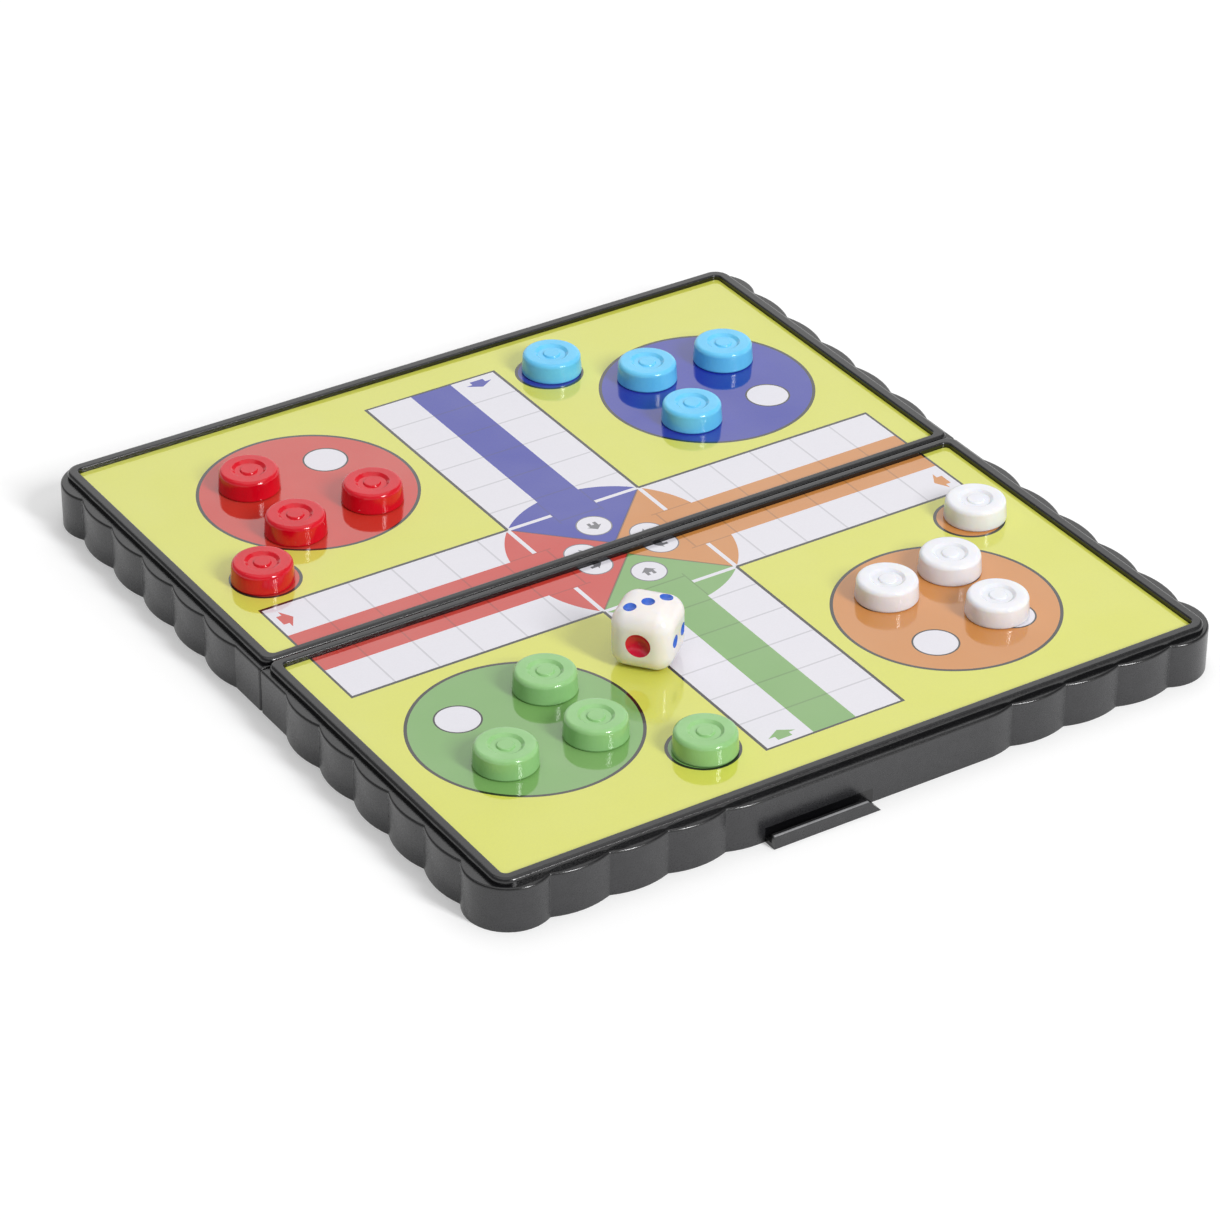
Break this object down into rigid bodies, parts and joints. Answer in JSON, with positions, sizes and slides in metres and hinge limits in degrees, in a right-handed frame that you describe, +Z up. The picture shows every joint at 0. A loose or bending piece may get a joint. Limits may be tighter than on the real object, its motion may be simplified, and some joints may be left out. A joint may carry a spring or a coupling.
{
  "type": "folding ludo board box",
  "caption": "Black folding board box: two scalloped hollow trays on a film hinge open flat into a ludo board with magnetic counters and a die.",
  "frame": {"origin": "middle of the fold line, in the plane of the rims that the open box stands on", "axes": "+X along the fold line, +Y from the near half to the far half, +Z up out of the playing faces"},
  "size_m": [0.1672, 0.1814, 0.0224],
  "materials": {
    "black_case_plastic": "glossy",
    "tinplate": "satin",
    "printed_sheet": "glossy laminated print",
    "red_counter_plastic": "glossy",
    "blue_counter_plastic": "glossy",
    "white_counter_plastic": "glossy",
    "green_counter_plastic": "glossy",
    "ferrite_magnet": "matt sintered",
    "ivory_die_plastic": "glossy"
  },
  "bodies": {
    "near_half": {"near_case": "black_case_plastic", "near_steel_plate": "tinplate", "near_board_sheet": "printed_sheet"},
    "far_half": {"far_case": "black_case_plastic", "far_steel_plate": "tinplate", "far_board_sheet": "printed_sheet"},
    "red_counter_1": {"red_counter_1": "red_counter_plastic", "red_magnet_1": "ferrite_magnet"},
    "red_counter_2": {"red_counter_2": "red_counter_plastic", "red_magnet_2": "ferrite_magnet"},
    "red_counter_3": {"red_counter_3": "red_counter_plastic", "red_magnet_3": "ferrite_magnet"},
    "red_counter_4": {"red_counter_4": "red_counter_plastic", "red_magnet_4": "ferrite_magnet"},
    "blue_counter_1": {"blue_counter_1": "blue_counter_plastic", "blue_magnet_1": "ferrite_magnet"},
    "blue_counter_2": {"blue_counter_2": "blue_counter_plastic", "blue_magnet_2": "ferrite_magnet"},
    "blue_counter_3": {"blue_counter_3": "blue_counter_plastic", "blue_magnet_3": "ferrite_magnet"},
    "blue_counter_4": {"blue_counter_4": "blue_counter_plastic", "blue_magnet_4": "ferrite_magnet"},
    "white_counter_1": {"white_counter_1": "white_counter_plastic", "white_magnet_1": "ferrite_magnet"},
    "white_counter_2": {"white_counter_2": "white_counter_plastic", "white_magnet_2": "ferrite_magnet"},
    "white_counter_3": {"white_counter_3": "white_counter_plastic", "white_magnet_3": "ferrite_magnet"},
    "white_counter_4": {"white_counter_4": "white_counter_plastic", "white_magnet_4": "ferrite_magnet"},
    "green_counter_1": {"green_counter_1": "green_counter_plastic", "green_magnet_1": "ferrite_magnet"},
    "green_counter_2": {"green_counter_2": "green_counter_plastic", "green_magnet_2": "ferrite_magnet"},
    "green_counter_3": {"green_counter_3": "green_counter_plastic", "green_magnet_3": "ferrite_magnet"},
    "green_counter_4": {"green_counter_4": "green_counter_plastic", "green_magnet_4": "ferrite_magnet"},
    "die": {"die": "ivory_die_plastic"}
  },
  "joints": [
    {"name": "fold_hinge", "type": "hinge", "parent": "near_half", "child": "far_half", "pos_m": [0, 0, 0], "axis": [-1, 0, 0], "range_deg": [0, 180]},
    {"name": "red_counter_1_lift", "type": "slide", "parent": "far_half", "child": "red_counter_1", "axis": [0, 0, 1], "range_m": [0, 0.03]},
    {"name": "red_counter_2_lift", "type": "slide", "parent": "far_half", "child": "red_counter_2", "axis": [0, 0, 1], "range_m": [0, 0.03]},
    {"name": "red_counter_3_lift", "type": "slide", "parent": "far_half", "child": "red_counter_3", "axis": [0, 0, 1], "range_m": [0, 0.03]},
    {"name": "red_counter_4_lift", "type": "slide", "parent": "far_half", "child": "red_counter_4", "axis": [0, 0, 1], "range_m": [0, 0.03]},
    {"name": "blue_counter_1_lift", "type": "slide", "parent": "far_half", "child": "blue_counter_1", "axis": [0, 0, 1], "range_m": [0, 0.03]},
    {"name": "blue_counter_2_lift", "type": "slide", "parent": "far_half", "child": "blue_counter_2", "axis": [0, 0, 1], "range_m": [0, 0.03]},
    {"name": "blue_counter_3_lift", "type": "slide", "parent": "far_half", "child": "blue_counter_3", "axis": [0, 0, 1], "range_m": [0, 0.03]},
    {"name": "blue_counter_4_lift", "type": "slide", "parent": "far_half", "child": "blue_counter_4", "axis": [0, 0, 1], "range_m": [0, 0.03]},
    {"name": "white_counter_1_lift", "type": "slide", "parent": "near_half", "child": "white_counter_1", "axis": [0, 0, 1], "range_m": [0, 0.03]},
    {"name": "white_counter_2_lift", "type": "slide", "parent": "near_half", "child": "white_counter_2", "axis": [0, 0, 1], "range_m": [0, 0.03]},
    {"name": "white_counter_3_lift", "type": "slide", "parent": "near_half", "child": "white_counter_3", "axis": [0, 0, 1], "range_m": [0, 0.03]},
    {"name": "white_counter_4_lift", "type": "slide", "parent": "near_half", "child": "white_counter_4", "axis": [0, 0, 1], "range_m": [0, 0.03]},
    {"name": "green_counter_1_lift", "type": "slide", "parent": "near_half", "child": "green_counter_1", "axis": [0, 0, 1], "range_m": [0, 0.03]},
    {"name": "green_counter_2_lift", "type": "slide", "parent": "near_half", "child": "green_counter_2", "axis": [0, 0, 1], "range_m": [0, 0.03]},
    {"name": "green_counter_3_lift", "type": "slide", "parent": "near_half", "child": "green_counter_3", "axis": [0, 0, 1], "range_m": [0, 0.03]},
    {"name": "green_counter_4_lift", "type": "slide", "parent": "near_half", "child": "green_counter_4", "axis": [0, 0, 1], "range_m": [0, 0.03]},
    {"name": "die_lift", "type": "slide", "parent": "near_half", "child": "die", "axis": [0, 0, 1], "range_m": [0, 0.04]}
  ]
}
